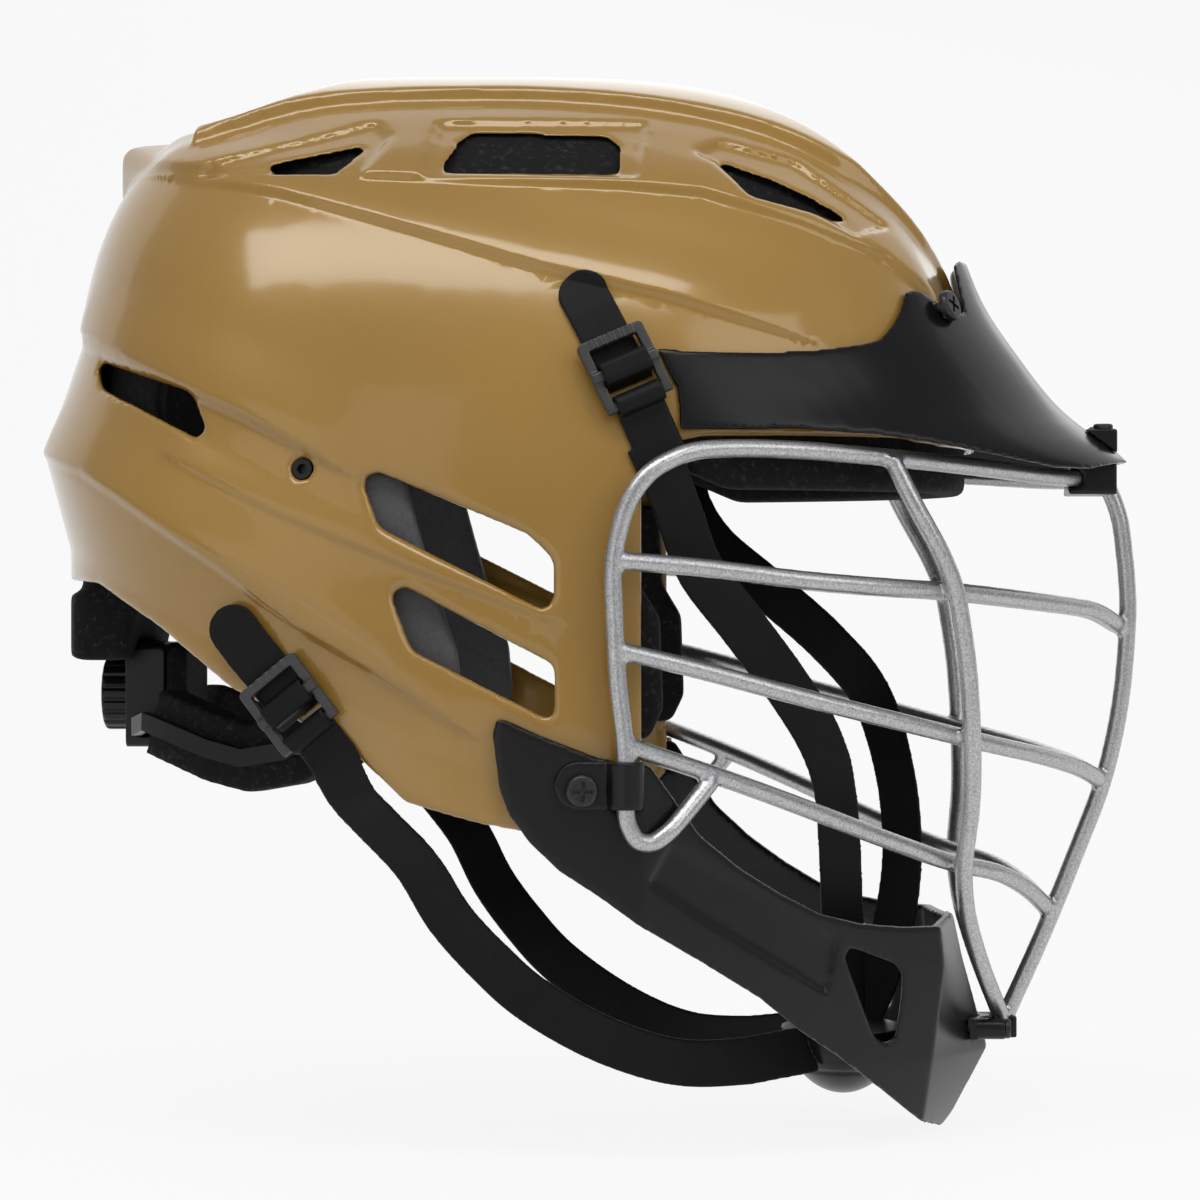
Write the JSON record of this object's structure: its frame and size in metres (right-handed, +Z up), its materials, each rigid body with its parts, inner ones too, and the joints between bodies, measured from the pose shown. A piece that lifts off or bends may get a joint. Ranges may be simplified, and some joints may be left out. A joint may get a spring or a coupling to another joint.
{
  "type": "lacrosse helmet",
  "caption": "Men's field lacrosse helmet: vented gloss shell, peaked visor, bent-wire face mask, chin guard, four-strap chin cup with ladder buckles, foam liner and a dial fit band at the nape.",
  "frame": {"origin": "centre of the wearer's head, on the centre plane", "axes": "+X to the front, +Y to the wearer's left, +Z up"},
  "size_m": [0.3576, 0.245, 0.3425],
  "materials": {
    "gold_shell": "glossy paint with a slight pearl",
    "black_gloss": "polished moulding",
    "black_satin": "fine moulded grain",
    "silver_wire": "coarse metallic powder coat",
    "black_screw": "black oxide",
    "black_foam": "covered foam with light flecks",
    "grey_foam": "matt foam",
    "webbing": "coated webbing",
    "buckle_grey": "satin"
  },
  "bodies": {
    "helmet": {"brow_pad": "black_foam", "cheek_pad_left": "black_foam", "cheek_pad_right": "black_foam", "chin_cup": "black_satin", "chin_cup_pad": "black_foam", "chin_guard": "black_satin", "crown_liner": "black_foam", "fit_housing": "black_satin", "fit_pad": "black_foam", "jaw_pad_left": "grey_foam", "jaw_pad_right": "grey_foam", "lower_chin_strap_left": "webbing", "lower_chin_strap_right": "webbing", "mask_centre_bar": "silver_wire", "mask_chin_clip": "black_satin", "mask_chin_clip_screws": "black_screw", "mask_rim": "silver_wire", "mask_row_lower": "silver_wire", "mask_row_middle": "silver_wire", "mask_row_upper": "silver_wire", "mask_side_bar_left": "silver_wire", "mask_side_bar_right": "silver_wire", "nape_pad": "black_foam", "rear_liner": "black_foam", "shell": "gold_shell", "side_clip_left": "black_satin", "side_clip_nuts": "black_screw", "side_clip_right": "black_satin", "side_clip_screws": "black_screw", "side_liner_left": "black_foam", "side_liner_right": "black_foam", "side_plugs": "black_satin", "upper_chin_strap_left": "webbing", "upper_chin_strap_right": "webbing", "visor": "black_gloss", "visor_clip": "black_satin", "visor_clip_screws": "black_screw", "visor_saddle": "black_satin", "visor_screws": "black_screw"},
    "fit_dial": {"fit_dial": "black_satin", "fit_pinion": "black_satin", "dial_screw": "black_screw"},
    "fit_band_left": {"fit_band_left": "black_satin", "fit_wing_left": "black_foam"},
    "fit_band_right": {"fit_band_right": "black_satin", "fit_wing_right": "black_foam"},
    "temple_buckle_left": {"temple_buckle_left": "buckle_grey", "temple_tail_left": "webbing"},
    "temple_buckle_right": {"temple_buckle_right": "buckle_grey", "temple_tail_right": "webbing"},
    "rear_buckle_left": {"rear_buckle_left": "buckle_grey", "rear_tail_left": "webbing"},
    "rear_buckle_right": {"rear_buckle_right": "buckle_grey", "rear_tail_right": "webbing"}
  },
  "joints": [
    {"name": "dial_turn", "type": "hinge", "parent": "helmet", "child": "fit_dial", "pos_m": [-0.122, 0, -0.087], "axis": [1, 0, 0], "range_deg": [0, 120]},
    {"name": "left_band_slide", "type": "slide", "parent": "helmet", "child": "fit_band_left", "axis": [0, -1, 0], "range_m": [0, 0.0127]},
    {"name": "right_band_slide", "type": "slide", "parent": "helmet", "child": "fit_band_right", "axis": [0, 1, 0], "range_m": [0, 0.0127]},
    {"name": "temple_buckle_right_tip", "type": "hinge", "parent": "helmet", "child": "temple_buckle_right", "pos_m": [0.05059, -0.1075, 0.00541], "axis": [0.882, 0.2643, 0.3901], "range_deg": [0, 30]},
    {"name": "temple_buckle_left_tip", "type": "hinge", "parent": "helmet", "child": "temple_buckle_left", "pos_m": [0.05059, 0.1075, 0.00541], "axis": [-0.882, 0.2643, -0.3901], "range_deg": [0, 30]},
    {"name": "rear_buckle_right_tip", "type": "hinge", "parent": "helmet", "child": "rear_buckle_right", "pos_m": [-0.04932, -0.11653, -0.09587], "axis": [0.7694, -0.1512, 0.6206], "range_deg": [0, 30]},
    {"name": "rear_buckle_left_tip", "type": "hinge", "parent": "helmet", "child": "rear_buckle_left", "pos_m": [-0.04932, 0.11653, -0.09587], "axis": [-0.7694, -0.1512, -0.6206], "range_deg": [0, 30]}
  ],
  "couplings": [
    {"joint": "left_band_slide", "follows": "dial_turn", "m_per_rad": 0.006},
    {"joint": "right_band_slide", "follows": "dial_turn", "m_per_rad": 0.006}
  ]
}
